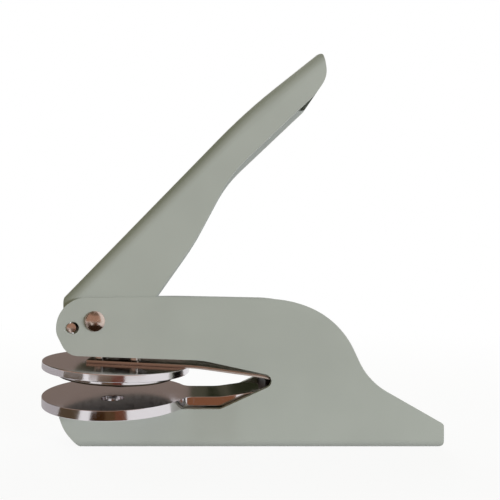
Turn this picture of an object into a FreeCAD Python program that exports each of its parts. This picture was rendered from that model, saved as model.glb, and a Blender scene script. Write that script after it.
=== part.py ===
"""Desk seal embosser: a folded sheet-steel frame, a pressed lever, and a sprung pair of round plates.

Row frame, in millimetres: X runs from the paper mouth (-X) to the tail (+X), Y across the frame,
Z up from the face that the frame stands on. The origin is the middle of the footprint box.
The lever is modelled open, as its return spring holds it, with the plates apart.
"""
import FreeCAD, Part
import math
import os

V = FreeCAD.Vector
AXIS_Y = V(0, 1, 0)
AXIS_Z = V(0, 0, 1)

# --- driving dimensions ------------------------------------------------------------------------
# frame: one folded channel, open at the top
FRAME_WIDTH = 22.0
FRAME_SHEET = 1.8
FRAME_BEND = 3.0            # outside radius of the two folds along the base
FRAME_TOP = 50.15
TAIL_X = 67.9
NOSE_X = -60.8
BED_Z = 13.2                # floor of the paper mouth in the side walls

# side wall outline, as corner points with the radius that rounds each one: (x, z, radius)
FRAME_OUTLINE = [
    (NOSE_X, FRAME_TOP, 10.2),
    (NOSE_X, 38.3, 6.0),
    (-57.1, 30.9, 6.0),
    (-12.3, 29.35, 30.0),   # upper lip of the mouth turns down to the throat
    (15.6, 23.25, 2.3),     # throat
    (-6.3, BED_Z, 3.0),
    (-60.7, BED_Z, 1.2),
    (-58.4, 6.2, 14.0),
    (-53.0, 0.0, 1.2),
    (TAIL_X, 0.0, 1.6),
    (TAIL_X, 8.2, 1.3),
    (42.85, 22.5, 22.0),
    (33.6, 42.5, 28.0),
    (17.2, 49.65, 36.0),
    (-22.0, 50.45, 250.0),  # the upper edge is very slightly crowned
]

# lever pivot and its stop
PIVOT_X, PIVOT_Z = -47.9, 42.35
AXLE_R = 2.5
AXLE_HEAD_R, AXLE_HEAD_H = 3.4, 1.9
STOP_X, STOP_Z, STOP_HOLE_R = -55.25, 40.15, 2.05
STOP_R, STOP_SHIFT = 1.6, 0.42              # the pin is loose and lies against the front of its hole
STOP_STAND = 0.6            # how far the stop pin stands out of each wall
FIT = 0.02                  # radial clearance of a fixed pin in its hole
RUN = 0.05                  # radial clearance of a turning fit

# lever: one pressed channel
LEVER_WIDTH = 17.2
LEVER_SHEET = 1.5
LEVER_BEND = 5.0            # outside radius along the back of the lever
LEVER_TRAVEL = 40.0         # degrees from open to closed
LEVER_OUTLINE = [
    (-59.7, 50.3, 1.5),     # front corner of the back
    (3.0, 114.55, 200.0),
    (28.6, 134.85, 1.4),    # tip
    (30.25, 124.9, 8.5),
    (26.3, 119.1, 4.0),
    (-2.43, 91.95, 46.0),
    (-14.55, 69.26, 90.0),
    (-30.4, 46.8, 3.0),
    (-30.6, 39.2, 4.0),
    (-38.9, 34.2, 4.0),
    (-45.2, 34.6, 1.5),
    (-46.6, 37.05, 1.0),
    (-53.15, 37.05, 4.6),
    (-53.15, 42.1, 0.4),
    (-58.4, 42.1, 1.5),     # this edge meets the stop pin
]
LIP_Z = 46.5                # the front wall of the lever ends here
LIP_X = -57.6               # inner face of the front wall
WASHER_R = 4.6
WASHER_T = 0.5
BUSH_R = 4.0
CAM_HALF = 2.9              # the cam's nose runs between the two rows of studs
CAM_HUB_R = 5.4
CAM_GAP = 0.3
CAM_RIVET_R = 1.5
CAM_RIVETS = [(8.6, 0.9), (12.6, -3.4)]      # from the pivot, along X and Z
SPRING_WIRE_R = 0.4
SPRING_COIL_R = 4.8
SPRING_PITCH = 0.85
SPRING_LEG_ANGLE = 30.0
SPRING_ARM, SPRING_LEG = 13.6, 9.5

# round plates
PLATE_R = 25.75
PLATE_X = TAIL_X * -1 + PLATE_R             # the lower plate's rim is as far forward as the tail is back
PLATE_ROUND = 0.3
ARM_HALF = 8.5
LOWER_T = 3.2
LOWER_TOP = 16.7
UPPER_T = 2.5
LEAF_T = 1.1
LEAF_FRONT_X = -51.3
TAPE_R, TAPE_T = 19.8, 0.3
DIE_R, DIE_T = 20.5, 2.0
DIE_GROOVE = 0.4
PAPER_GAP = 0.35                            # left between the plates when the lever is closed
POCKET_R, POCKET_Y = 3.8, 10.0              # pair of locating holes in the lower plate
STUD_R, STUD_HEAD_R, STUD_HEAD_H = 1.2, 1.7, 3.4
STUD_SHIFT, STUD_OFFSET, STUD_Y = 0.45, 6.0, 5.0

# The leaf bends as the plates close, so the upper plate turns about a point behind the tail.
JAW_TILT = 2.9                              # degrees, open
JAW_LIFT = 5.75                             # rise of the plate's centre, open
UPPER_TOP = LOWER_TOP + PAPER_GAP + DIE_T + TAPE_T + UPPER_T      # closed
JAW_X = PLATE_X + JAW_LIFT / math.sin(math.radians(JAW_TILT))
JAW_Z = UPPER_TOP

# rear joint of the plates
ROOT_X, ROOT_END = 9.2, 19.6
ROOT_TOP = 22.15                            # the leaf lies on the spacer at this height
ROOT_RIVET_X, ROOT_RIVET_Y, ROOT_RIVET_R = 14.4, 4.5, 1.5
ARM_RISE = 2.0                              # the lower arm steps up to the rear joint

# supports inside the frame
BRIDGE_T = 2.5
BRIDGE_HALF = 9.0
BRIDGE_X0, BRIDGE_X1 = -50.0, -10.0
BRIDGE_FOOT = 13.0
STOP_WALL_T = 2.0
BASE_RIVET_R, BASE_RIVET_HEAD_R = 1.6, 2.9
BASE_RIVET_Y = 5.0


# --- shape helpers -----------------------------------------------------------------------------
def rounded_wire(corners, y=0.0):
    """Closed wire in the plane Y=y through (x, z, radius) corners, each rounded by a tangent arc."""
    starts, ends, arcs = [], [], []
    count = len(corners)
    for i, (x, z, radius) in enumerate(corners):
        here = V(x, y, z)
        before = V(corners[i - 1][0], y, corners[i - 1][1]) - here
        after = V(corners[(i + 1) % count][0], y, corners[(i + 1) % count][1]) - here
        before.normalize()
        after.normalize()
        half = before.getAngle(after) / 2
        if radius == 0:
            starts.append(here)
            ends.append(here)
            arcs.append(None)
            continue
        tangent = radius / math.tan(half)
        middle = before + after
        middle.normalize()
        crown = here + middle * (radius / math.sin(half) - radius)
        starts.append(here + before * tangent)
        ends.append(here + after * tangent)
        arcs.append(Part.Arc(starts[-1], crown, ends[-1]).toShape())
    edges = []
    for i in range(count):
        if arcs[i] is not None:
            edges.append(arcs[i])
        following = starts[(i + 1) % count]
        if ends[i].distanceToPoint(following) > 1e-6:
            edges.append(Part.makeLine(ends[i], following))
    return Part.Wire(Part.__sortEdges__(edges))


def prism(corners, half_width):
    """Solid between Y=-half_width and Y=+half_width on a rounded outline."""
    face = Part.Face(rounded_wire(corners, -half_width))
    return face.extrude(V(0, 2 * half_width, 0))


def pin_y(x, z, radius, y0, y1):
    """Cylinder along Y."""
    return Part.makeCylinder(radius, y1 - y0, V(x, y0, z), AXIS_Y)


def pin_z(x, y, radius, z0, z1):
    """Cylinder along Z."""
    return Part.makeCylinder(radius, z1 - z0, V(x, y, z0), AXIS_Z)


def turned(profile, base, axis):
    """Solid of revolution: profile is (radius, height) points along axis from base."""
    points = [V(r, 0, h) for r, h in profile]
    face = Part.Face(Part.makePolygon(points + [points[0]]))
    solid = face.revolve(V(0, 0, 0), AXIS_Z, 360)
    solid.Placement = FreeCAD.Placement(base, FreeCAD.Rotation(AXIS_Z, axis))
    return solid


def domed_head(radius, height, base, axis):
    """Low dome standing on base along axis, with a true spherical crown and a thin rim."""
    rim = 0.3
    ball = (radius ** 2 + (height - rim) ** 2) / (2 * (height - rim))
    sphere = Part.makeSphere(ball, base + axis * (height - ball))
    stem = Part.makeCylinder(radius, height + 1, base, axis)
    return stem.common(sphere)


def box(x0, x1, y0, y1, z0, z1):
    return Part.makeBox(x1 - x0, y1 - y0, z1 - z0, V(x0, y0, z0))


def one_solid(shape):
    """The shape's only solid, with seams between coplanar faces removed."""
    clean = shape.removeSplitter()
    if len(clean.Solids) != 1:
        raise RuntimeError("expected one solid, got %d" % len(clean.Solids))
    return clean.Solids[0]


def soften(shape, radius, wanted):
    """Rounds the edges that `wanted` picks, one group at a time."""
    edges = [edge for edge in shape.Edges if wanted(edge)]
    return shape.makeFillet(radius, edges)


def open_jaw(shape):
    """Takes a shape of the upper plate from its closed place to its open place."""
    out = shape.copy()
    out.rotate(V(JAW_X, 0, JAW_Z), AXIS_Y, JAW_TILT)
    return out


# --- frame body --------------------------------------------------------------------------------
def channel_profile(half, bottom, bend):
    """Long bar with rounded lower edges; the difference of two makes the folded channel."""
    length, top = 200.0, 80.0
    bar = box(-length / 2, length / 2, -half, half, bottom, top)
    return soften(bar, bend, lambda e: abs(e.BoundBox.ZMax - bottom) < 1e-6 and e.BoundBox.XLength > 1)


def frame_channel():
    half = FRAME_WIDTH / 2
    wall = prism(FRAME_OUTLINE, half)
    outer = channel_profile(half, 0.0, FRAME_BEND)
    inner = channel_profile(half - FRAME_SHEET, FRAME_SHEET, FRAME_BEND - FRAME_SHEET)
    shell = one_solid(wall.common(outer).cut(inner))
    shell = shell.cut(pin_y(PIVOT_X, PIVOT_Z, AXLE_R + FIT, -20, 20))
    shell = shell.cut(pin_y(STOP_X, STOP_Z, STOP_HOLE_R, -20, 20))
    for x, y in base_rivet_places() + backstop_rivet_places():
        shell = shell.cut(base_rivet_cut(x, y))
    return one_solid(shell)


def pivot_axle():
    half = FRAME_WIDTH / 2
    shank = pin_y(PIVOT_X, PIVOT_Z, AXLE_R, -half, half)
    near = domed_head(AXLE_HEAD_R, AXLE_HEAD_H, V(PIVOT_X, -half, PIVOT_Z), V(0, -1, 0))
    far = domed_head(AXLE_HEAD_R, AXLE_HEAD_H, V(PIVOT_X, half, PIVOT_Z), V(0, 1, 0))
    return one_solid(shank.fuse(near).fuse(far))


def stop_pin():
    """Loose cross pin with slightly domed ends."""
    half = FRAME_WIDTH / 2
    x = STOP_X - STOP_SHIFT
    pin = pin_y(x, STOP_Z, STOP_R, -half, half)
    for side in (-1, 1):
        pin = pin.fuse(domed_head(STOP_R, STOP_STAND, V(x, side * half, STOP_Z), V(0, side, 0)))
    return one_solid(pin)


def axle_washers():
    out = []
    inside = FRAME_WIDTH / 2 - FRAME_SHEET
    for y0 in (-inside, inside - WASHER_T):
        ring = pin_y(PIVOT_X, PIVOT_Z, WASHER_R, y0, y0 + WASHER_T)
        out.append(ring.cut(pin_y(PIVOT_X, PIVOT_Z, AXLE_R + RUN, y0 - 1, y0 + 2)))
    return Part.makeCompound(out)


def base_rivet_places():
    xs = (BRIDGE_X0 + BRIDGE_FOOT * 0.62, BRIDGE_X1 - BRIDGE_FOOT * 0.62)
    return [(x, y) for x in xs for y in (-BASE_RIVET_Y, BASE_RIVET_Y)]


def backstop_rivet_places():
    return [(ROOT_END + 9.0, y) for y in (-BASE_RIVET_Y, BASE_RIVET_Y)]


def base_rivet_cut(x, y):
    """Countersunk hole through the base, open at the underside."""
    grow = FIT
    profile = [(0, -0.5), (BASE_RIVET_HEAD_R + 0.5 + grow, -0.5), (BASE_RIVET_R + grow, 1.3 - grow),
               (BASE_RIVET_R + grow, 4), (0, 4)]
    return turned(profile, V(x, y, 0), AXIS_Z)


def base_rivet(x, y, foot_top):
    """Rivet with a flush countersunk head below and a formed head on the bracket's foot."""
    head = 1.1
    wide = BASE_RIVET_HEAD_R + 0.5 - 0.5 * (BASE_RIVET_HEAD_R + 0.5 - BASE_RIVET_R) / 1.8
    profile = [(0, 0), (wide, 0), (BASE_RIVET_R, 1.3), (BASE_RIVET_R, foot_top), (2.6, foot_top),
               (2.4, foot_top + head * 0.7), (1.7, foot_top + head), (0, foot_top + head)]
    return turned(profile, V(x, y, 0), AXIS_Z)


def bridge_holes(shape, places):
    """Rivet holes, and rounded lower edges that clear the folds of the frame."""
    shape = shape.common(channel_profile(BRIDGE_HALF, FRAME_SHEET, FRAME_BEND - FRAME_SHEET + 0.2))
    for x, y in places:
        shape = shape.cut(pin_z(x, y, BASE_RIVET_R + FIT, -1, FRAME_SHEET + BRIDGE_T + 1))
    return shape


def anvil_bridge():
    """Folded bridge that carries the lower plate on the base, with its feet turned inwards."""
    top = LOWER_TOP - LOWER_T
    low = FRAME_SHEET
    x0, x1, t = BRIDGE_X0, BRIDGE_X1, BRIDGE_T
    bend = t + 0.8
    outside = prism([(x0, low, bend), (x0, top, bend), (x1, top, bend), (x1, low, bend)], BRIDGE_HALF)
    inside = prism([(x0 + t, low + t, 0.8), (x0 + t, top - t, 0.8),
                    (x1 - t, top - t, 0.8), (x1 - t, low + t, 0.8)], BRIDGE_HALF)
    gap = box(x0 + BRIDGE_FOOT, x1 - BRIDGE_FOOT, -BRIDGE_HALF, BRIDGE_HALF, low - 1, low + t + 1)
    return one_solid(bridge_holes(outside.cut(inside).cut(gap), base_rivet_places()))


def anvil_rivets():
    return Part.makeCompound([base_rivet(x, y, FRAME_SHEET + BRIDGE_T) for x, y in base_rivet_places()])


def clip_backstop():
    """Bracket behind the rear joint: an upright wall, a foot on the base, and a shelf under the arm."""
    t = STOP_WALL_T
    x0 = ROOT_END + 0.2
    shelf_top = LOWER_TOP - LOWER_T + ARM_RISE
    wall_top = ROOT_TOP + LEAF_T
    bend = t + 0.8
    low = FRAME_SHEET
    foot_end = x0 + 15.0
    corner = prism([(x0, low, bend), (x0, wall_top, 0.6), (x0 + t, wall_top, 0.6), (x0 + t, low + t, 0.8),
                    (foot_end, low + t, 0.6), (foot_end, low, 0.6)], BRIDGE_HALF)
    window = box(x0 - 1, x0 + t + 1, -5.2, 5.2, shelf_top - 10.5, shelf_top - t)
    shelf = box(x0 - 9.5, x0 + t, -5.0, 5.0, shelf_top - t, shelf_top)
    bracket = corner.cut(window).fuse(shelf)
    return one_solid(bridge_holes(bracket, backstop_rivet_places()))


def backstop_rivets():
    return Part.makeCompound([base_rivet(x, y, FRAME_SHEET + STOP_WALL_T) for x, y in backstop_rivet_places()])


def strip(path, thickness, half_width):
    """Bent flat strip: path is its lower line as (x, z, radius) corners, from front to rear."""
    upper = []
    for x, z, radius in reversed(path):
        upper.append((x, z + thickness, max(radius - thickness, 0.0)))
    return prism([(x, z, r) for x, z, r in path] + upper, half_width)


def lower_plate():
    """Round plate with its arm in one piece; the arm steps up to the rear joint."""
    bottom = LOWER_TOP - LOWER_T
    disc = pin_z(PLATE_X, 0, PLATE_R, bottom, LOWER_TOP)
    arm = strip([(PLATE_X, bottom, 0), (-6.0, bottom, 30.0), (8.0, bottom + ARM_RISE, 15.0),
                 (ROOT_END, bottom + ARM_RISE, 0)], LOWER_T, ARM_HALF)
    plate = one_solid(disc.fuse(arm))
    neck_x = PLATE_X + math.sqrt(PLATE_R ** 2 - ARM_HALF ** 2)
    plate = soften(plate, 4.0, lambda e: e.BoundBox.XLength < 1e-4 and e.BoundBox.YLength < 1e-4
                   and abs(e.BoundBox.XMin - neck_x) < 0.01)
    for y in (-POCKET_Y, POCKET_Y):
        plate = plate.cut(pin_z(PLATE_X, y, POCKET_R, bottom - 1, LOWER_TOP + 1))
    for y in (-ROOT_RIVET_Y, ROOT_RIVET_Y):
        plate = plate.cut(root_rivet_shape(y, FIT))
    return one_solid(plate)


def clip_spacer():
    block = box(ROOT_X, ROOT_END, -ARM_HALF, ARM_HALF, LOWER_TOP + ARM_RISE, ROOT_TOP)
    block = soften(block, 1.0, lambda e: e.BoundBox.ZLength > 1)
    for y in (-ROOT_RIVET_Y, ROOT_RIVET_Y):
        block = block.cut(pin_z(ROOT_RIVET_X, y, ROOT_RIVET_R + FIT, 10, 30))
    return one_solid(block)


def root_rivet_shape(y, grow):
    """Rivet of the rear joint: countersunk below, low head above the leaf."""
    bottom = LOWER_TOP - LOWER_T + ARM_RISE
    top = ROOT_TOP + LEAF_T
    r = ROOT_RIVET_R + grow
    profile = [(0, bottom), (r + 1.2, bottom), (r, bottom + 1.2), (r, top), (2.6, top),
               (2.5, top + 0.6), (1.8, top + 0.9), (0, top + 0.9)]
    return turned(profile, V(ROOT_RIVET_X, y, 0), AXIS_Z)


def clip_rivets():
    return Part.makeCompound([root_rivet_shape(y, 0.0) for y in (-ROOT_RIVET_Y, ROOT_RIVET_Y)])


# --- jaw body ----------------------------------------------------------------------------------
def stud_places():
    middle = PLATE_X + STUD_SHIFT
    return [(x, y) for x in (middle - STUD_OFFSET, middle + STUD_OFFSET) for y in (-STUD_Y, STUD_Y)]


def upper_plate():
    z0 = UPPER_TOP - UPPER_T
    plate = pin_z(PLATE_X, 0, PLATE_R, z0, UPPER_TOP)
    plate = soften(plate, PLATE_ROUND, lambda e: e.BoundBox.ZLength < 1e-4)
    for x, y in stud_places():
        plate = plate.cut(stud_shape(x, y, FIT))
    return open_jaw(one_solid(plate))


def leaf_spring():
    """Flat leaf riveted on the upper plate; it bends down to the rear joint."""
    def open_z(x):
        return JAW_Z + (JAW_X - x) * math.tan(math.radians(JAW_TILT))
    leaf = strip([(LEAF_FRONT_X, open_z(LEAF_FRONT_X), 0), (-14.0, open_z(-14.0), 60.0),
                  (8.6, ROOT_TOP + 0.8, 4.0), (10.8, ROOT_TOP, 4.0), (ROOT_END, ROOT_TOP, 0)],
                 LEAF_T, ARM_HALF)
    for x, y in stud_places():
        leaf = leaf.cut(open_jaw(stud_shape(x, y, FIT)))
    for y in (-ROOT_RIVET_Y, ROOT_RIVET_Y):
        leaf = leaf.cut(pin_z(ROOT_RIVET_X, y, ROOT_RIVET_R + 0.1, 20, 26))
    return one_solid(leaf)


def stud_shape(x, y, grow):
    """Stud with a countersunk foot in the plate and a domed head on the leaf, in the closed place."""
    bottom, top = UPPER_TOP - UPPER_T, UPPER_TOP + LEAF_T
    r = STUD_R + grow
    profile = [(0, bottom), (r + 1.0, bottom), (r, bottom + 1.0), (r, top)]
    if grow:
        return turned(profile + [(r, top + 1.0), (0, top + 1.0)], V(x, y, 0), AXIS_Z)
    shank = turned(profile + [(0, top)], V(x, y, 0), AXIS_Z)
    return one_solid(shank.fuse(domed_head(STUD_HEAD_R, STUD_HEAD_H, V(x, y, top), AXIS_Z)))


def jaw_studs():
    return Part.makeCompound([open_jaw(stud_shape(x, y, 0.0)) for x, y in stud_places()])


def die_tape():
    top = UPPER_TOP - UPPER_T
    return open_jaw(pin_z(PLATE_X, 0, TAPE_R, top - TAPE_T, top))


def die_plate():
    """Engraved plate: two plain ring lines and a ring of dots, cut into its underside."""
    bottom = LOWER_TOP + PAPER_GAP
    die = pin_z(PLATE_X, 0, DIE_R, bottom, bottom + DIE_T)
    die = soften(die, 0.25, lambda e: e.BoundBox.ZLength < 1e-4)
    for radius in (18.6, 13.4, 6.2):
        ring = pin_z(PLATE_X, 0, radius, bottom - 1, bottom + DIE_GROOVE)
        die = die.cut(ring.cut(pin_z(PLATE_X, 0, radius - 0.6, bottom - 2, bottom + 1)))
    dots = 24
    for i in range(dots):
        turn = 2 * math.pi * i / dots
        die = die.cut(pin_z(PLATE_X + 16.0 * math.cos(turn), 16.0 * math.sin(turn), 0.8,
                            bottom - 1, bottom + DIE_GROOVE))
    return open_jaw(one_solid(die))


# --- lever body --------------------------------------------------------------------------------
def back_bar(inset):
    """Long bar under the lever's back, with its two upper edges rounded; inset shrinks it by the sheet."""
    (x0, z0, _), (x1, z1, bend), (x2, z2, _) = LEVER_OUTLINE[:3]
    first, second = V(x1 - x0, 0, z1 - z0), V(x2 - x1, 0, z2 - z1)
    first.normalize()
    second.normalize()
    corner = V(x1, 0, z1)
    tangent = bend * math.tan(first.getAngle(second) / 2)
    centre = corner - first * tangent + V(first.z, 0, -first.x) * bend
    out = V(x1, 0, z1) - centre
    out.normalize()
    start = V(x0, 0, z0) - first * 25
    p1, p2 = corner - first * tangent, corner + second * tangent
    path = Part.Wire([Part.makeLine(start, p1), Part.Arc(p1, centre + out * bend, p2).toShape(),
                      Part.makeLine(p2, V(x2, 0, z2) + second * 20)])
    half, radius, depth = LEVER_WIDTH / 2 - inset, LEVER_BEND - inset, 70.0
    down = V(first.z, 0, -first.x)
    a = start + down * inset
    side = V(0, 1, 0)
    diagonal = math.sqrt(0.5)
    left_low, left_high = a - side * half + down * depth, a - side * half + down * radius
    left_mid = a - side * (half - radius + radius * diagonal) + down * (radius - radius * diagonal)
    left_top, right_top = a - side * (half - radius), a + side * (half - radius)
    right_mid = a + side * (half - radius + radius * diagonal) + down * (radius - radius * diagonal)
    right_high, right_low = a + side * half + down * radius, a + side * half + down * depth
    section = Part.Wire([
        Part.makeLine(left_low, left_high), Part.Arc(left_high, left_mid, left_top).toShape(),
        Part.makeLine(left_top, right_top), Part.Arc(right_top, right_mid, right_high).toShape(),
        Part.makeLine(right_high, right_low), Part.makeLine(right_low, left_low)])
    return path.makePipeShell([section], True, False)


def handle_lever():
    """Pressed channel: rounded back, closed tip, and two flanges that reach down past the pivot."""
    t = LEVER_SHEET
    body = prism(LEVER_OUTLINE, LEVER_WIDTH / 2).common(back_bar(0.0))
    cavity = prism([
        (-90.0, LIP_Z, 0), (LIP_X, LIP_Z, 0), (LIP_X, 170.0, 0), (21.4, 170.0, 0), (27.12, 134.6, 0),
        (28.66, 125.25, 7.0), (25.6, 120.7, 0), (60.0, 69.0, 0), (60.0, -20.0, 0), (-90.0, -20.0, 0),
    ], LEVER_WIDTH / 2 - t)
    shell = one_solid(body.cut(cavity.common(back_bar(t))))
    shell = shell.cut(pin_y(PIVOT_X, PIVOT_Z, AXLE_R + RUN, -20, 20))
    for dx, dz in CAM_RIVETS:
        shell = shell.cut(pin_y(PIVOT_X + dx, PIVOT_Z + dz, CAM_RIVET_R + FIT, -20, 20))
    return one_solid(shell)


def cam_distance(turn):
    """Distance from the pivot to the cam's tangent line whose normal points to `turn`."""
    tilt = math.radians(JAW_TILT)
    leaf_top = UPPER_TOP + LEAF_T

    def reach(angle):
        dx, dz = PIVOT_X - JAW_X, PIVOT_Z - JAW_Z
        return dx * math.sin(angle) + dz * math.cos(angle) - (leaf_top - JAW_Z)
    rise = (reach(0.0) - reach(tilt)) / (math.radians(LEVER_TRAVEL) + tilt)
    first = math.radians(270) - tilt
    return reach(tilt) - CAM_GAP + rise * (turn - first), rise


def cam_point(turn):
    """Point of the involute nose whose normal points to `turn`."""
    distance, rise = cam_distance(turn)
    nx, nz = math.cos(turn), math.sin(turn)
    return V(PIVOT_X + distance * nx - rise * nz, -CAM_HALF, PIVOT_Z + distance * nz + rise * nx)


def presser_cam():
    """Hardened block on the axle; its involute nose lowers the plate in step with the lever."""
    first = math.radians(270 - JAW_TILT - 3)
    last = math.radians(270 + LEVER_TRAVEL + 3)
    nose = [cam_point(first + (last - first) * i / 8) for i in range(9)]
    curve = Part.BSplineCurve()
    curve.interpolate(nose)
    pivot = V(PIVOT_X, -CAM_HALF, PIVOT_Z)

    def hub(angle):
        return pivot + V(math.cos(angle), 0, math.sin(angle)) * CAM_HUB_R
    start = nose[0] - pivot
    low = math.atan2(start.z, start.x) - math.acos(CAM_HUB_R / start.Length)
    high = math.radians(58)
    heel, crown = pivot + V(18.6, 0, -4.6), pivot + V(11.5, 0, 4.0)
    edges = [
        Part.Arc(hub(high), hub(math.radians(150)), hub(low)).toShape(),
        Part.makeLine(hub(low), nose[0]), curve.toShape(),
        Part.makeLine(nose[-1], heel), Part.makeLine(heel, crown), Part.makeLine(crown, hub(high)),
    ]
    face = Part.Face(Part.Wire(Part.__sortEdges__(edges)))
    cam = face.extrude(V(0, 2 * CAM_HALF, 0))
    corners = (heel, crown)
    cam = soften(cam, 1.5, lambda e: e.BoundBox.YLength > 1 and any(
        abs(e.BoundBox.XMin - c.x) < 1e-3 and abs(e.BoundBox.ZMin - c.z) < 1e-3 for c in corners))
    cam = cam.cut(pin_y(PIVOT_X, PIVOT_Z, AXLE_R + RUN, -20, 20))
    for dx, dz in CAM_RIVETS:
        cam = cam.cut(pin_y(PIVOT_X + dx, PIVOT_Z + dz, CAM_RIVET_R + FIT, -20, 20))
    return one_solid(cam)


def cam_rivets():
    """Two rivets, flush with the lever's flanges so that they pass the frame walls."""
    half = LEVER_WIDTH / 2
    return Part.makeCompound([pin_y(PIVOT_X + dx, PIVOT_Z + dz, CAM_RIVET_R, -half, half)
                              for dx, dz in CAM_RIVETS])


def spacer_bushes():
    """Two sleeves on the axle that keep the cam in the middle of the lever."""
    inside = LEVER_WIDTH / 2 - LEVER_SHEET
    out = []
    for y0, y1 in ((-inside, -CAM_HALF), (CAM_HALF, inside)):
        sleeve = pin_y(PIVOT_X, PIVOT_Z, BUSH_R, y0, y1)
        out.append(sleeve.cut(pin_y(PIVOT_X, PIVOT_Z, AXLE_R + RUN, y0 - 1, y1 + 1)))
    return Part.makeCompound(out)


def return_spring():
    """Torsion spring between cam and flange: one leg under the stop pin, one on the lever's back."""
    first = SPRING_LEG_ANGLE
    sweep = 2 * 360.0 + first + 90.0                # clockwise, to the bottom of the coil
    y0 = CAM_HALF + 0.16 + SPRING_WIRE_R

    def coil_point(angle):
        turn = math.radians(first - angle)
        return V(PIVOT_X + SPRING_COIL_R * math.cos(turn), y0 + SPRING_PITCH * angle / 360.0,
                 PIVOT_Z + SPRING_COIL_R * math.sin(turn))
    turn = math.radians(first)
    up, forward = V(-math.sin(turn), 0, math.cos(turn)), V(-1, 0, 0)
    path = [coil_point(0) + up * (SPRING_ARM * (1 - i / 2)) for i in range(2)]
    path += [coil_point(angle) for angle in range(0, int(sweep), 30)]
    path += [coil_point(sweep) + forward * (SPRING_LEG * i / 2) for i in range(3)]
    line = Part.BSplineCurve()
    line.interpolate(path)
    section = Part.Wire(Part.makeCircle(SPRING_WIRE_R, path[0], path[1] - path[0]))
    return one_solid(Part.Wire(line.toShape()).makePipeShell([section], True, True))


SUB_PARTS = [
    frame_channel, pivot_axle, stop_pin, axle_washers, anvil_bridge, anvil_rivets, clip_backstop,
    backstop_rivets, lower_plate, clip_spacer, clip_rivets, upper_plate, leaf_spring, jaw_studs,
    die_tape, die_plate, handle_lever, presser_cam, cam_rivets, spacer_bushes, return_spring,
]


def main():
    os.makedirs("parts", exist_ok=True)
    for make in SUB_PARTS:
        shape = make()
        if not shape.isValid():
            raise RuntimeError("%s is not a valid shape" % make.__name__)
        shape.exportStep("parts/%s.step" % make.__name__)
        print("%-18s %8.1f mm3" % (make.__name__, shape.Volume))


main()
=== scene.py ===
import math

import bmesh
import bpy
from bpy.props import FloatProperty, FloatVectorProperty, PointerProperty
from mathutils import Matrix, Vector


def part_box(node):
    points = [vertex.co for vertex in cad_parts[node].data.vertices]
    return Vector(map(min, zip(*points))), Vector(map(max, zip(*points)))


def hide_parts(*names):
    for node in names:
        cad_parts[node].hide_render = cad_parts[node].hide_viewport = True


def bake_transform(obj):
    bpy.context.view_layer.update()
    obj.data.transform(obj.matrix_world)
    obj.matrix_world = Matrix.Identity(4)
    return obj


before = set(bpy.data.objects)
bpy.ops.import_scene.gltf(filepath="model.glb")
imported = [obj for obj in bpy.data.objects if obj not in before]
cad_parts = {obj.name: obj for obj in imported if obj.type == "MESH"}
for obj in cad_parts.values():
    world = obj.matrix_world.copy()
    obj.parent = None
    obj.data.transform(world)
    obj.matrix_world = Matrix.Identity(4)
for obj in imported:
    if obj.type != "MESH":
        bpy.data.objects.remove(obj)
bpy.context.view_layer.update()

bl_info = {
    "name": "Desk seal embosser",
    "version": (1, 0, 0),
    "blender": (4, 5, 0),
    "location": "View3D > Sidebar > Embosser",
    "description": "Dresses the packed frame of a desk seal embosser and sets it on a pale floor",
    "category": "Object",
}

MM = 0.001

# An edge is kept sharp, or rounded, where its faces meet at more than this angle, in degrees.
SHARP_ANGLE = 35.0
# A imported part's triangles are joined where they meet within the first of these, in metres, and lie
# flat within the second, in degrees.
JOIN_DISTANCE, FLAT_ANGLE = 1e-6, 0.6
# Nearly all values of a noise lie in this range.
NOISE_RANGE = {"From Min": 0.3, "From Max": 0.7}
# The Mix node's two inputs for colours.
MIX_A, MIX_B = 6, 7

# Tilt of the open upper plate, in degrees, and the axis of that tilt, as x and z in mm.
JAW_TILT = 2.9
JAW_AXIS = (71.5, 21.85)
# Height of the die's lower face in mm, measured square to that tilt, and the two heights over it
# between which the dark etching ends.
DIE_FACE = 20.639
ETCH_LOW, ETCH_HIGH = 0.45, 0.7

# The rear joint holds the leaf at its back, and the upper plate carries it at its front.
# Underside of the relaxed leaf, as x and z in mm: from the upper plate it falls along a straight
# line through the first two points, and drops to the rear joint at the third.
LEAF_LINE = ((-14.0, 26.18), (8.6, 22.95), (10.8, 22.15))
# Softness in mm of its three bends, from the upper plate back.
LEAF_SOFT = (0.25, 0.12, 0.15)
# Thickness and radius of the rounded rim in mm, and the angle in degrees that makes an edge a rim.
LEAF_THICK, LEAF_RIM, LEAF_RIM_ANGLE = 1.1, 0.2, 50.0
LEAF_CELLS = (90, 4)

# The return spring, in mm and degrees: its near end turns with the lever, and its far end stays
# with the stop pin.
PIVOT = Vector((-47.9, 0.0, 42.35)) * MM
COIL_RADIUS, WIRE_RADIUS = 4.8, 0.4
COIL_NEAR, COIL_FAR = 3.46, 5.44
COIL_START, COIL_TURN = 30.0, 840.0
COIL_STEPS, WIRE_SIDES = 84, 12
NEAR_LEG, FAR_LEG = 13.6, 9.5
# The ring at an end of the wire lies within this distance from the end's middle, in mm.
END_REACH = 0.5


# --- small helpers ---------------------------------------------------------------------------
def linear(hex_colour):
    """An sRGB hex colour as linear red, green, blue and alpha."""
    out = []
    for i in (1, 3, 5):
        value = int(hex_colour[i:i + 2], 16) / 255
        out.append(value / 12.92 if value <= 0.04045 else ((value + 0.055) / 1.055) ** 2.4)
    return (*out, 1.0)


def shade(colour, share=1.0):
    """A linear colour with alpha, made lighter or darker."""
    return (*(min(1.0, value * share) for value in colour[:3]), 1.0)


def plain_grey(value):
    """A grey of one linear value, with alpha."""
    return (value, value, value, 1.0)


def scale_for(size_mm):
    """Scale at which the blobs of a noise are about size_mm across."""
    return 1.0 / (size_mm * MM)


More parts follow.
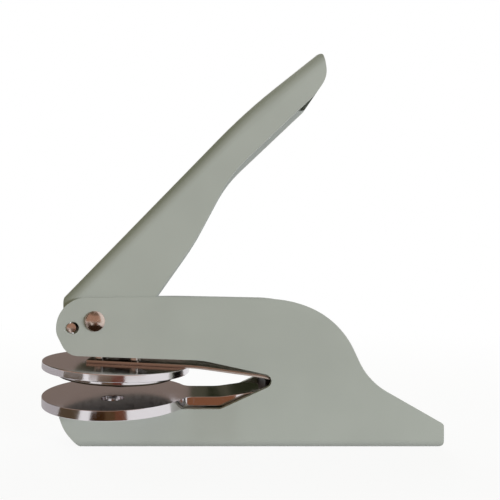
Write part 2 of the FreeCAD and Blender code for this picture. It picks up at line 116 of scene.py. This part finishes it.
def add(tree, kind, inputs=None, **properties):
    """Adds a node with its properties and inputs."""
    node = tree.nodes.new(kind)
    for key, value in properties.items():
        setattr(node, key, value)
    fill(tree, node, inputs or {})
    return node


def fill(tree, node, inputs):
    """Gives each input a value, or a link from a socket or from a node's first output in use."""
    for key, value in inputs.items():
        if isinstance(value, bpy.types.Node):
            value = next(socket for socket in value.outputs if socket.enabled)
        if isinstance(value, bpy.types.NodeSocket):
            tree.links.new(value, node.inputs[key])
        else:
            node.inputs[key].default_value = value


def empty_tree(owner):
    """Gives a material or a world nodes of its own, without any yet."""
    owner.use_nodes = True
    owner.node_tree.nodes.clear()
    return owner.node_tree


def new_material(name):
    """A node material with its tree, its shader and object coordinates."""
    material = bpy.data.materials.new(name)
    tree = empty_tree(material)
    shader = add(tree, "ShaderNodeBsdfPrincipled")
    add(tree, "ShaderNodeOutputMaterial", {"Surface": shader.outputs["BSDF"]})
    place = add(tree, "ShaderNodeTexCoord").outputs["Object"]
    return material, tree, shader, place


def paint_node(name, material):
    """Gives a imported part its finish."""
    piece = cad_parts[name]
    piece.data.materials.clear()
    piece.data.materials.append(material)
    return piece


def break_edges(piece, width, segments=2):
    """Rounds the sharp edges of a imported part, after its loose triangles are joined."""
    weld = piece.modifiers.new("Join triangles", "WELD")
    weld.merge_threshold = JOIN_DISTANCE
    flat = piece.modifiers.new("Join flat faces", "DECIMATE")
    flat.decimate_type, flat.angle_limit = "DISSOLVE", math.radians(FLAT_ANGLE)
    bevel = piece.modifiers.new("Broken edges", "BEVEL")
    bevel.width, bevel.segments = width, segments
    bevel.limit_method, bevel.angle_limit = "ANGLE", math.radians(SHARP_ANGLE)
    bevel.harden_normals = True
    normals = piece.modifiers.new("Flat faces stay flat", "WEIGHTED_NORMAL")
    normals.keep_sharp = True


def object_from(bm, name, material):
    """Turns a bmesh into a shaded object at the origin, and frees it."""
    mesh = bpy.data.meshes.new(name)
    bm.to_mesh(mesh)
    bm.free()
    piece = bpy.data.objects.new(name, mesh)
    bpy.context.scene.collection.objects.link(piece)
    mesh.materials.append(material)
    for polygon in mesh.polygons:
        polygon.use_smooth = True
    mesh.set_sharp_from_angle(angle=math.radians(SHARP_ANGLE))
    return piece


# --- finishes --------------------------------------------------------------------------------
def sage_powder_paint(looks):
    """Powder paint baked on pressed steel: satin and nearly even, with a faint orange peel."""
    material, tree, shader, place = new_material("Sage satin powder paint")
    cloud = add(tree, "ShaderNodeTexNoise", {"Vector": place, "Scale": scale_for(22.0)})
    drift = add(tree, "ShaderNodeMapRange", {"Value": cloud, **NOISE_RANGE})
    tone = add(tree, "ShaderNodeMix", {"Factor": drift, MIX_A: shade(looks.paint, 0.965),
                                       MIX_B: shade(looks.paint, 1.035)}, data_type="RGBA")
    # orange peel: shallow waves about 1.4 mm apart, with finer grain of the powder on them
    peel = add(tree, "ShaderNodeTexNoise", {"Vector": place, "Scale": scale_for(1.4)})
    grain = add(tree, "ShaderNodeTexNoise",
                {"Vector": place, "Scale": scale_for(0.35), "Detail": 1.0})
    ripple = add(tree, "ShaderNodeMapRange",
                 {"Value": grain, **NOISE_RANGE, "To Min": -0.12, "To Max": 0.12})
    waves = add(tree, "ShaderNodeMath", {0: peel, 1: ripple}, operation="ADD")
    relief = add(tree, "ShaderNodeBump", {"Height": waves, "Strength": 0.6, "Distance": 0.012 * MM})
    satin = add(tree, "ShaderNodeMapRange",
                {"Value": grain, **NOISE_RANGE, "To Min": 0.40, "To Max": 0.50})
    fill(tree, shader, {"Base Color": tone, "Roughness": satin, "IOR": 1.5, "Normal": relief})
    return material


def polished_plate_steel(looks):
    """Nickel-plated steel, lapped to a mirror that has a soft haze and faint wipe marks."""
    material, tree, shader, place = new_material("Lapped nickel-plated steel")
    cloud = add(tree, "ShaderNodeTexNoise", {"Vector": place, "Scale": scale_for(5.0),
                                             "Detail": 4.0, "Roughness": 0.6})
    haze = add(tree, "ShaderNodeMapRange",
               {"Value": cloud, **NOISE_RANGE, "To Min": 0.11, "To Max": 0.17})
    wipes = add(tree, "ShaderNodeTexNoise",
                {"Vector": place, "Scale": scale_for(8.0), "Detail": 1.0})
    relief = add(tree, "ShaderNodeBump", {"Height": wipes, "Strength": 0.25, "Distance": 0.02 * MM})
    fill(tree, shader, {"Base Color": shade(looks.plate_steel), "Metallic": 1.0,
                        "Roughness": haze, "Normal": relief})
    return material


def etched_die_steel(looks):
    """Die steel: the rim is lapped like the plates, the engraved face below is etched dark."""
    material, tree, shader, place = new_material("Etched die steel")
    # the height is measured square to the tilted face, and the grain of the etching is drawn
    # coarser than it is, so that it shows
    turned = add(tree, "ShaderNodeMapping",
                 {"Vector": place, "Rotation": (0.0, math.radians(-JAW_TILT), 0.0)})
    height = add(tree, "ShaderNodeSeparateXYZ", {"Vector": turned}).outputs["Z"]
    etched = add(tree, "ShaderNodeMapRange",
                 {"Value": height, "From Min": (DIE_FACE + ETCH_LOW) * MM,
                  "From Max": (DIE_FACE + ETCH_HIGH) * MM, "To Min": 1.0, "To Max": 0.0})
    grain = add(tree, "ShaderNodeTexNoise",
                {"Vector": place, "Scale": scale_for(0.5), "Detail": 3.0})
    spots = add(tree, "ShaderNodeMapRange", {"Value": grain, **NOISE_RANGE})
    dark = add(tree, "ShaderNodeMix", {"Factor": spots, MIX_A: linear("#352f25"),
                                       MIX_B: linear("#544c3b")}, data_type="RGBA")
    tone = add(tree, "ShaderNodeMix", {"Factor": etched, MIX_A: shade(looks.plate_steel),
                                       MIX_B: dark}, data_type="RGBA")
    rough = add(tree, "ShaderNodeMapRange", {"Value": etched, "To Min": 0.12, "To Max": 0.5})
    relief = add(tree, "ShaderNodeBump", {"Height": grain, "Strength": 0.4, "Distance": 0.01 * MM})
    fill(tree, shader, {"Base Color": tone, "Metallic": 1.0, "Roughness": rough, "Normal": relief})
    return material


def rivet_steel(looks):
    """Domed rivet steel, tumbled bright, with shallow dents from tumbling. Its slightly warm tint is
    partly the plating's own and partly painted reflection of the warm room.
    """
    material, tree, shader, place = new_material("Tumbled rivet steel")
    cloud = add(tree, "ShaderNodeTexNoise",
                {"Vector": place, "Scale": scale_for(0.9), "Detail": 3.0})
    drift = add(tree, "ShaderNodeMapRange", {"Value": cloud, **NOISE_RANGE})
    tone = add(tree, "ShaderNodeMix", {"Factor": drift, MIX_A: shade(looks.rivet_steel, 0.9),
                                       MIX_B: shade(looks.rivet_steel)}, data_type="RGBA")
    rough = add(tree, "ShaderNodeMapRange",
                {"Value": cloud, **NOISE_RANGE, "To Min": 0.22, "To Max": 0.28})
    dents = add(tree, "ShaderNodeTexNoise",
                {"Vector": place, "Scale": scale_for(0.8), "Detail": 1.0})
    relief = add(tree, "ShaderNodeBump",
                 {"Height": dents, "Strength": 0.4, "Distance": 0.005 * MM})
    fill(tree, shader, {"Base Color": tone, "Metallic": 1.0, "Roughness": rough, "Normal": relief})
    return material


def rolled_spring_steel(looks):
    """Cold-rolled spring strip, tempered to a brown tint, with rolling marks along its length."""
    material, tree, shader, place = new_material("Tempered spring strip")
    along = add(tree, "ShaderNodeMapping", {"Vector": place, "Scale": (0.04, 1.0, 1.0)})
    streaks = add(tree, "ShaderNodeTexNoise", {"Vector": along, "Scale": scale_for(0.6),
                                               "Detail": 3.0, "Roughness": 0.6})
    drift = add(tree, "ShaderNodeMapRange", {"Value": streaks, **NOISE_RANGE})
    tone = add(tree, "ShaderNodeMix", {"Factor": drift, MIX_A: shade(looks.leaf_steel, 0.82),
                                       MIX_B: shade(looks.leaf_steel)}, data_type="RGBA")
    rough = add(tree, "ShaderNodeMapRange",
                {"Value": streaks, **NOISE_RANGE, "To Min": 0.16, "To Max": 0.28})
    relief = add(tree, "ShaderNodeBump",
                 {"Height": streaks, "Strength": 0.5, "Distance": 0.004 * MM})
    fill(tree, shader, {"Base Color": tone, "Metallic": 1.0, "Roughness": rough, "Normal": relief})
    return material


def marked_metal(name, hex_colour, roughness, mark_mm):
    """A small part's finish: even metal with fine marks of tumbling, drawing or grinding."""
    material, tree, shader, place = new_material(name)
    marks = add(tree, "ShaderNodeTexNoise", {"Vector": place, "Scale": scale_for(mark_mm),
                                             "Detail": 4.0, "Roughness": 0.6})
    drift = add(tree, "ShaderNodeMapRange", {"Value": marks, **NOISE_RANGE})
    tone = add(tree, "ShaderNodeMix", {"Factor": drift, MIX_A: shade(linear(hex_colour), 0.8),
                                       MIX_B: linear(hex_colour)}, data_type="RGBA")
    rough = add(tree, "ShaderNodeMapRange", {"Value": marks, **NOISE_RANGE,
                                             "To Min": roughness - 0.06,
                                             "To Max": roughness + 0.08})
    relief = add(tree, "ShaderNodeBump", {"Height": marks, "Strength": 0.4, "Distance": 0.01 * MM})
    fill(tree, shader, {"Base Color": tone, "Metallic": 1.0, "Roughness": rough, "Normal": relief})
    return material


def foam_tape():
    """Closed-cell adhesive foam: matt, dark, with pores."""
    material, tree, shader, place = new_material("Adhesive foam disc")
    pores = add(tree, "ShaderNodeTexNoise", {"Vector": place, "Scale": scale_for(0.4)})
    depth = add(tree, "ShaderNodeMapRange", {"Value": pores, "From Min": 0.35, "From Max": 0.6})
    tone = add(tree, "ShaderNodeMix", {"Factor": depth, MIX_A: linear("#3b3734"),
                                       MIX_B: linear("#5c5650")}, data_type="RGBA")
    relief = add(tree, "ShaderNodeBump", {"Height": pores, "Strength": 0.6, "Distance": 0.05 * MM})
    fill(tree, shader, {"Base Color": tone, "Roughness": 0.8, "Normal": relief})
    return material


# --- settings --------------------------------------------------------------------------------
class EmbosserLooks(bpy.types.PropertyGroup):
    """Colours and sizes that a user would change."""
    paint: FloatVectorProperty(name="Paint", description="Powder paint of frame and lever",
                               subtype="COLOR", size=3, default=linear("#a4a8a0")[:3])
    plate_steel: FloatVectorProperty(name="Plates", description="Nickel plating of the plates",
                                     subtype="COLOR", size=3, default=linear("#e0dcdf")[:3])
    # the rivets' slightly warm default tint is partly painted reflection of the warm room round them
    rivet_steel: FloatVectorProperty(name="Rivets", description="Domed rivet heads",
                                     subtype="COLOR", size=3, default=linear("#d6c4ba")[:3])
    leaf_steel: FloatVectorProperty(name="Leaf spring", description="Tempered spring strip",
                                    subtype="COLOR", size=3, default=linear("#b3a59c")[:3])
    edge: FloatProperty(name="Sheet edge", description="Radius on the painted sheet's cut edges",
                        unit="LENGTH", default=0.75 * MM, min=0.0, max=0.85 * MM)


class EmbosserStage(bpy.types.PropertyGroup):
    """Floor, lamps and room light."""
    floor_size: FloatProperty(name="Floor", description="Side of the square floor",
                              unit="LENGTH", default=12.0, min=1.0)
    key_power: FloatProperty(name="Key lamp", description="Power of the softbox at the right",
                             unit="POWER", default=172.0, min=0.0)
    rear_power: FloatProperty(name="Rear lamp", description="Power of the softbox at the back",
                              unit="POWER", default=4.0, min=0.0)
    upper_power: FloatProperty(name="Upper lamp", unit="POWER", default=1.5, min=0.0,
                               description="Power of the softbox over the lever's back")
    world: FloatProperty(name="Room light", description="Strength of the even room light",
                         default=0.30, min=0.0)


# --- pieces ----------------------------------------------------------------------------------
class EMBOSSER_OT_shell(bpy.types.Operator):
    """Paint the folded frame and the pressed lever"""
    bl_idname = "embosser.shell"
    bl_label = "Frame and lever"

    def execute(self, context):
        looks = context.scene.embosser_looks
        paint = sage_powder_paint(looks)
        for name in ("frame_channel", "handle_lever"):
            break_edges(paint_node(name, paint), looks.edge, 3)
        return {"FINISHED"}


class EMBOSSER_OT_plates(bpy.types.Operator):
    """Polish the round plates and finish the parts between and behind them"""
    bl_idname = "embosser.plates"
    bl_label = "Round plates"

    def execute(self, context):
        looks = context.scene.embosser_looks
        steel = polished_plate_steel(looks)
        break_edges(paint_node("lower_plate", steel), 0.3 * MM)
        paint_node("upper_plate", steel)
        paint_node("die_plate", etched_die_steel(looks))
        # the spacer's near-black colour is painted shade: it stands in for the deep shade at the
        # closed end of the throat
        paint_node("clip_spacer", marked_metal("Oil-blackened spacer steel", "#1e1b18", 0.45, 1.0))
        paint_node("die_tape", foam_tape())
        return {"FINISHED"}


class EMBOSSER_OT_leaf(bpy.types.Operator):
    """Make the leaf spring, which bends from the rear joint to the upper plate"""
    bl_idname = "embosser.leaf"
    bl_label = "Leaf spring"

    def execute(self, context):
        material = rolled_spring_steel(context.scene.embosser_looks)
        low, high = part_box("leaf_spring")
        bm = bmesh.new()
        bmesh.ops.create_grid(bm, x_segments=LEAF_CELLS[0], y_segments=LEAF_CELLS[1], size=0.5)
        bmesh.ops.scale(bm, vec=(high.x - low.x, high.y - low.y, 1.0), verts=bm.verts)
        bmesh.ops.translate(bm, vec=((low.x + high.x) / 2, 0.0, 0.0), verts=bm.verts)
        for vert in bm.verts:
            vert.co.z = leaf_height(vert.co.x)
        bmesh.ops.solidify(bm, geom=bm.faces[:], thickness=-LEAF_THICK * MM)
        rims = [edge for edge in bm.edges if edge.is_manifold
                and edge.calc_face_angle(0.0) > math.radians(LEAF_RIM_ANGLE)]
        bmesh.ops.bevel(bm, geom=rims, offset=LEAF_RIM * MM, offset_type="OFFSET", segments=2,
                        profile=0.5, affect="EDGES", material=-1)
        bmesh.ops.recalc_face_normals(bm, faces=bm.faces)
        leaf = object_from(bm, "leaf_strip", material)
        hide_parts("leaf_spring")
        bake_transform(leaf)
        return {"FINISHED"}


def leaf_height(x):
    """Underside of the relaxed leaf at `x`, both in metres."""
    x = x / MM
    plate = JAW_AXIS[1] + (JAW_AXIS[0] - x) * math.tan(math.radians(JAW_TILT))
    slope = height_on_line(LEAF_LINE[0], LEAF_LINE[1], x)
    joggle = height_on_line(LEAF_LINE[1], LEAF_LINE[2], x)
    at_plate, at_joggle, at_joint = LEAF_SOFT
    rear = rounded_corner(joggle, LEAF_LINE[2][1], at_joint, 1)
    front = rounded_corner(plate, slope, at_plate, -1)
    return rounded_corner(front, rear, at_joggle, -1) * MM


def height_on_line(first, second, x):
    """Height at `x` of the straight line through two points."""
    slope = (second[1] - first[1]) / (second[0] - first[0])
    return first[1] + (x - first[0]) * slope


def rounded_corner(a, b, soft, side):
    """The higher of two heights for side 1, the lower for side -1, with a rounded change."""
    return 0.5 * (a + b + side * math.sqrt((a - b) ** 2 + soft ** 2))


class EMBOSSER_OT_small_parts(bpy.types.Operator):
    """Finish the axle, pins, rivets, cam and the parts inside the frame"""
    bl_idname = "embosser.small_parts"
    bl_label = "Axle, rivets and inner parts"

    def execute(self, context):
        bright = rivet_steel(context.scene.embosser_looks)
        for name in ("pivot_axle", "stop_pin"):
            paint_node(name, bright)
        paint_node("jaw_studs", marked_metal("Polished stud steel", "#d9d4d0", 0.12, 1.5))
        zinc = marked_metal("Zinc-plated steel", "#a9adb0", 0.36, 1.2)
        for name in ("anvil_bridge", "anvil_rivets", "clip_backstop", "backstop_rivets",
                     "clip_rivets", "axle_washers", "spacer_bushes", "cam_rivets"):
            paint_node(name, zinc)
        paint_node("presser_cam",
                   marked_metal("Oil-blackened hardened steel", "#4a4744", 0.34, 0.8))
        return {"FINISHED"}


class EMBOSSER_OT_return_spring(bpy.types.Operator):
    """Wind the torsion spring of the lever round the axle"""
    bl_idname = "embosser.return_spring"
    bl_label = "Return spring"

    def execute(self, context):
        start = math.radians(COIL_START)
        near, far = (PIVOT + Vector((0.0, side * MM, 0.0)) for side in (COIL_NEAR, COIL_FAR))
        bm = bmesh.new()
        bmesh.ops.create_circle(bm, segments=WIRE_SIDES, radius=WIRE_RADIUS * MM)
        # the circle lies across the wire, where the near leg leaves the coil
        bmesh.ops.rotate(bm, cent=(0.0, 0.0, 0.0), verts=bm.verts,
                         matrix=Matrix.Rotation(-start, 3, "Y"))
        first = near + Vector((math.cos(start), 0.0, math.sin(start))) * COIL_RADIUS * MM
        bmesh.ops.translate(bm, vec=first, verts=bm.verts)
        bmesh.ops.spin(bm, geom=bm.verts[:] + bm.edges[:], cent=PIVOT, axis=(0.0, 1.0, 0.0),
                       dvec=(far - near) / COIL_STEPS, angle=math.radians(COIL_TURN),
                       steps=COIL_STEPS)
        last = far - Vector((0.0, 0.0, COIL_RADIUS)) * MM
        legs = ((first, Vector((-math.sin(start), 0.0, math.cos(start))) * NEAR_LEG * MM),
                (last, Vector((-FAR_LEG, 0.0, 0.0)) * MM))
        for place, leg in legs:
            ring = [edge for edge in bm.edges
                    if edge.is_boundary and (edge.verts[0].co - place).length < END_REACH * MM]
            longer = bmesh.ops.extrude_edge_only(bm, edges=ring)["geom"]
            bmesh.ops.translate(bm, vec=leg,
                                verts=[v for v in longer if isinstance(v, bmesh.types.BMVert)])
        bmesh.ops.holes_fill(bm, edges=[edge for edge in bm.edges if edge.is_boundary],
                             sides=WIRE_SIDES)
        bmesh.ops.recalc_face_normals(bm, faces=bm.faces)
        spring = object_from(bm, "torsion_spring",
                             marked_metal("Drawn music wire", "#8f9294", 0.24, 0.5))
        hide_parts("return_spring")
        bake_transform(spring)
        return {"FINISHED"}


# --- stage -----------------------------------------------------------------------------------
# The camera's place in metres, and its lens and sensor in mm. It looks level along +Y.
EYE = (-0.019, -0.160, 0.05373)
LENS, SENSOR = 32.34, 36.0
SHIFT_X, SHIFT_Y = 0.136, 0.074
CLIP_START, CLIP_END = 0.01, 20.0
# What the lamps and the two large cards look at.
MIDDLE = (0.0, 0.0, 0.05)
COOL_LAMP = (0.90, 0.91, 1.0)
WARM_ROOM = (1.0, 0.99, 0.58)
# Softboxes: name, place, width, height, and the setting that gives the power.
LAMPS = (
    ("Key softbox", (2.36, -1.85, 0.15), 1.4, 0.9, "key_power"),
    ("Rear softbox", (0.15, 0.7, 0.25), 0.6, 0.6, "rear_power"),
    ("Upper softbox", (-0.55, 0.30, 0.55), 0.4, 0.4, "upper_power"),
)
# The floor: its grey for the camera, the share of light that it throws back on the object, how far
# from the object it fades to plain white, and its share of plain white near the object.
FLOOR_GREY, FLOOR_BOUNCE = 0.9, 0.33
FLOOR_FADE = (0.12, 0.5)
NEAR_WHITE = 0.91
# Cards that only the metal sees: name, middle, what it looks at, width, height, colour.
CARDS = (
    ("Taupe card behind", (0.0, 0.60, 0.26), MIDDLE, 1.7, 0.52, "#80726a"),
    ("Olive card above", (-0.70, 0.10, 0.60), MIDDLE, 1.5, 1.2, "#3c3c2c"),
    ("Olive card behind the arm",
     (0.003, 0.44, 0.15), (0.003, 0.0, 0.15), 0.024, 0.20, "#48473a"),
    ("Dark card behind the arm",
     (0.065, 0.44, 0.15), (0.065, 0.0, 0.15), 0.100, 0.20, "#25281a"),
    ("Red-brown card at the arm",
     (-0.0076, -0.0165, 0.009), (-0.0076, 0.0, 0.009), 0.0155, 0.016, "#83563d"),
    ("Dark card under the axle",
     (-0.0479, -0.0138, 0.0386), (-0.0479, -0.0138, 1.0), 0.009, 0.005, "#33241a"),
)
# Cards in rings round the plates' axis: name, angles in degrees, inner and outer edge as radius and
# height in mm, colour. The ones at a height of 0.5 lie just over the floor.
CLIP_AXIS = Vector((-42.15, 0.0, 0.0)) * MM
RING_STEPS = 32
RING_CARDS = (
    ("Grey floor card at the left", 120.0, 197.0, (45.0, 0.5), (300.0, 0.5), "#b7b3b4"),
    ("Brown floor card at the left", 198.0, 231.5, (45.0, 0.5), (240.0, 0.5), "#564838"),
    ("Dark floor card in front", 246.0, 264.0, (45.0, 0.5), (100.0, 0.5), "#3a2410"),
    ("Brown floor card in front", 264.0, 276.0, (45.0, 0.5), (100.0, 0.5), "#55402a"),
    ("Red-brown floor card in front", 276.0, 290.0, (45.0, 0.5), (100.0, 0.5), "#6c4533"),
    ("Brown floor card farther out", 252.0, 271.0, (100.0, 0.5), (160.0, 0.5), "#65523f"),
    ("Red floor card farther out", 271.0, 288.0, (100.0, 0.5), (160.0, 0.5), "#642a1b"),
    ("Grey-brown floor card far out", 240.0, 320.0, (160.0, 0.5), (400.0, 0.5), "#91847b"),
    ("Rose wall in front", 185.0, 320.0, (450.0, 0.0), (450.0, 520.0), "#b49684"),
    ("Brown roof in front", 185.0, 320.0, (450.0, 520.0), (20.0, 800.0), "#7d695b"),
)


class EMBOSSER_OT_stage(bpy.types.Operator):
    """Set the floor, the room light, the lamps, the cards and the camera"""
    bl_idname = "embosser.stage"
    bl_label = "Stage"

    def execute(self, context):
        scene = context.scene
        stage = scene.embosser_stage
        scene.view_settings.view_transform = "Standard"
        bm = bmesh.new()
        bmesh.ops.create_grid(bm, x_segments=1, y_segments=1, size=stage.floor_size / 2)
        object_from(bm, "Floor", paper_floor())
        set_room_light(scene, stage.world)
        for name, place, width, height, setting in LAMPS:
            add_lamp(name, place, width, height, getattr(stage, setting))
        for card in CARDS:
            add_card(*card)
        for card in RING_CARDS:
            add_ring_card(*card)
        add_camera(scene)
        return {"FINISHED"}


def shown_share(tree):
    """1 for the camera and for what metal and glass show, 0 for light that falls on the object."""
    path = add(tree, "ShaderNodeLightPath").outputs
    mirrored = add(tree, "ShaderNodeMath", {0: path["Is Camera Ray"], 1: path["Is Glossy Ray"]},
                   operation="MAXIMUM")
    return add(tree, "ShaderNodeMath", {0: mirrored, 1: path["Is Transmission Ray"]},
               operation="MAXIMUM")


def paper_floor():
    """White paper that takes the object's shadow near it and fades to plain white farther away."""
    material = bpy.data.materials.new("White paper floor")
    tree = empty_tree(material)
    place = add(tree, "ShaderNodeTexCoord").outputs["Object"]
    away = add(tree, "ShaderNodeVectorMath", {0: place}, operation="LENGTH")
    plain = add(tree, "ShaderNodeMapRange", {"Value": away, "From Min": FLOOR_FADE[0],
                                             "From Max": FLOOR_FADE[1], "To Min": NEAR_WHITE})
    share = add(tree, "ShaderNodeMath", {0: shown_share(tree), 1: plain}, operation="MULTIPLY")
    seen = add(tree, "ShaderNodeLightPath").outputs["Is Camera Ray"]
    tone = add(tree, "ShaderNodeMix", {"Factor": seen, MIX_A: plain_grey(FLOOR_BOUNCE),
                                       MIX_B: plain_grey(FLOOR_GREY)}, data_type="RGBA")
    paper = add(tree, "ShaderNodeBsdfDiffuse", {"Color": tone})
    white = add(tree, "ShaderNodeEmission", {"Color": plain_grey(1.0), "Strength": 1.0})
    mix = add(tree, "ShaderNodeMixShader", {0: share, 1: paper, 2: white})
    add(tree, "ShaderNodeOutputMaterial", {"Surface": mix})
    return material


def set_room_light(scene, strength):
    """Even warm light from all round; the background behind the object shows as plain white."""
    world = bpy.data.worlds.new("Room")
    tree = empty_tree(world)
    room = add(tree, "ShaderNodeBackground", {"Color": shade(WARM_ROOM), "Strength": strength})
    white = add(tree, "ShaderNodeBackground", {"Color": plain_grey(1.0), "Strength": 1.0})
    mix = add(tree, "ShaderNodeMixShader", {0: shown_share(tree), 1: room, 2: white})
    add(tree, "ShaderNodeOutputWorld", {"Surface": mix})
    scene.world = world


def facing(place, target):
    """Turn of a lamp or card at `place` so that its front looks at `target`."""
    return (Vector(target) - Vector(place)).to_track_quat("-Z", "Y")


def add_lamp(name, place, width, height, power):
    """A softbox that faces the object; metal shows the cards instead of its square."""
    lamp = bpy.data.lights.new(name, "AREA")
    lamp.shape, lamp.size, lamp.size_y = "RECTANGLE", width, height
    lamp.energy, lamp.color = power, COOL_LAMP
    box = bpy.data.objects.new(name, lamp)
    box.location = place
    box.rotation_euler = facing(place, MIDDLE).to_euler()
    box.visible_glossy = False
    bpy.context.scene.collection.objects.link(box)


def add_camera(scene):
    """The camera at table height, level and square to the object's side."""
    camera = bpy.data.cameras.new("Camera")
    camera.lens, camera.sensor_width = LENS, SENSOR
    camera.shift_x, camera.shift_y = SHIFT_X, SHIFT_Y
    camera.clip_start, camera.clip_end = CLIP_START, CLIP_END
    eye = bpy.data.objects.new("Camera", camera)
    eye.location = EYE
    eye.rotation_euler = (math.radians(90.0), 0.0, 0.0)
    scene.collection.objects.link(eye)
    scene.camera = eye


def card_from(bm, name, colour, clear_back=False):
    """A plain card that gives the metal something to mirror; it neither shows nor blocks light."""
    material = bpy.data.materials.new(name)
    tree = empty_tree(material)
    surface = add(tree, "ShaderNodeEmission", {"Color": linear(colour), "Strength": 1.0})
    if clear_back:
        behind = add(tree, "ShaderNodeNewGeometry").outputs["Backfacing"]
        clear = add(tree, "ShaderNodeBsdfTransparent")
        surface = add(tree, "ShaderNodeMixShader", {0: behind, 1: surface, 2: clear})
    add(tree, "ShaderNodeOutputMaterial", {"Surface": surface})
    card = object_from(bm, name, material)
    card.visible_camera = card.visible_diffuse = card.visible_shadow = False


def add_card(name, place, target, width, height, colour):
    """A rectangular card that stands at `place` and looks at `target`; its back is clear."""
    bm = bmesh.new()
    bmesh.ops.create_grid(bm, x_segments=1, y_segments=1, size=0.5)
    bmesh.ops.scale(bm, vec=(width, height, 1.0), verts=bm.verts)
    bmesh.ops.rotate(bm, cent=(0.0, 0.0, 0.0), matrix=facing(place, target).to_matrix(),
                     verts=bm.verts)
    bmesh.ops.translate(bm, vec=place, verts=bm.verts)
    # the grid's face points to +Z, and the card's front to -Z
    bmesh.ops.reverse_faces(bm, faces=bm.faces)
    card_from(bm, name, colour, clear_back=True)


def add_ring_card(name, first, last, inner, outer, colour):
    """A card bent round the plates' axis, from angle `first` to angle `last`."""
    bm = bmesh.new()
    turn = math.radians(first)
    ends = [CLIP_AXIS + Vector((math.cos(turn) * reach, math.sin(turn) * reach, height)) * MM
            for reach, height in (inner, outer)]
    edge = bm.edges.new([bm.verts.new(end) for end in ends])
    bmesh.ops.spin(bm, geom=[edge, *edge.verts], cent=CLIP_AXIS, axis=(0.0, 0.0, 1.0),
                   angle=math.radians(last - first), steps=RING_STEPS)
    bmesh.ops.recalc_face_normals(bm, faces=bm.faces)
    card_from(bm, name, colour)


# --- add-on ----------------------------------------------------------------------------------
class EMBOSSER_PT_panel(bpy.types.Panel):
    """Lists the embosser's settings and pieces"""
    bl_idname = "EMBOSSER_PT_panel"
    bl_label = "Desk seal embosser"
    bl_space_type = "VIEW_3D"
    bl_region_type = "UI"
    bl_category = "Embosser"

    def draw(self, context):
        layout = self.layout
        for group in (context.scene.embosser_looks, context.scene.embosser_stage):
            box = layout.box()
            for key in group.__annotations__:
                box.prop(group, key)
        for operator in PIECES:
            layout.operator(operator.bl_idname)


PIECES = (EMBOSSER_OT_stage, EMBOSSER_OT_shell, EMBOSSER_OT_plates, EMBOSSER_OT_leaf,
          EMBOSSER_OT_small_parts, EMBOSSER_OT_return_spring)
CLASSES = (EmbosserLooks, EmbosserStage, *PIECES, EMBOSSER_PT_panel)


def register():
    for item in CLASSES:
        bpy.utils.register_class(item)
    bpy.types.Scene.embosser_looks = PointerProperty(type=EmbosserLooks)
    bpy.types.Scene.embosser_stage = PointerProperty(type=EmbosserStage)


def unregister():
    del bpy.types.Scene.embosser_stage
    del bpy.types.Scene.embosser_looks
    for item in reversed(CLASSES):
        bpy.utils.unregister_class(item)


def main():
    register()
    bpy.ops.embosser.stage()
    bpy.ops.embosser.shell()
    bpy.ops.embosser.plates()
    bpy.ops.embosser.leaf()
    bpy.ops.embosser.small_parts()
    bpy.ops.embosser.return_spring()


if __name__ == "__main__":
    main()
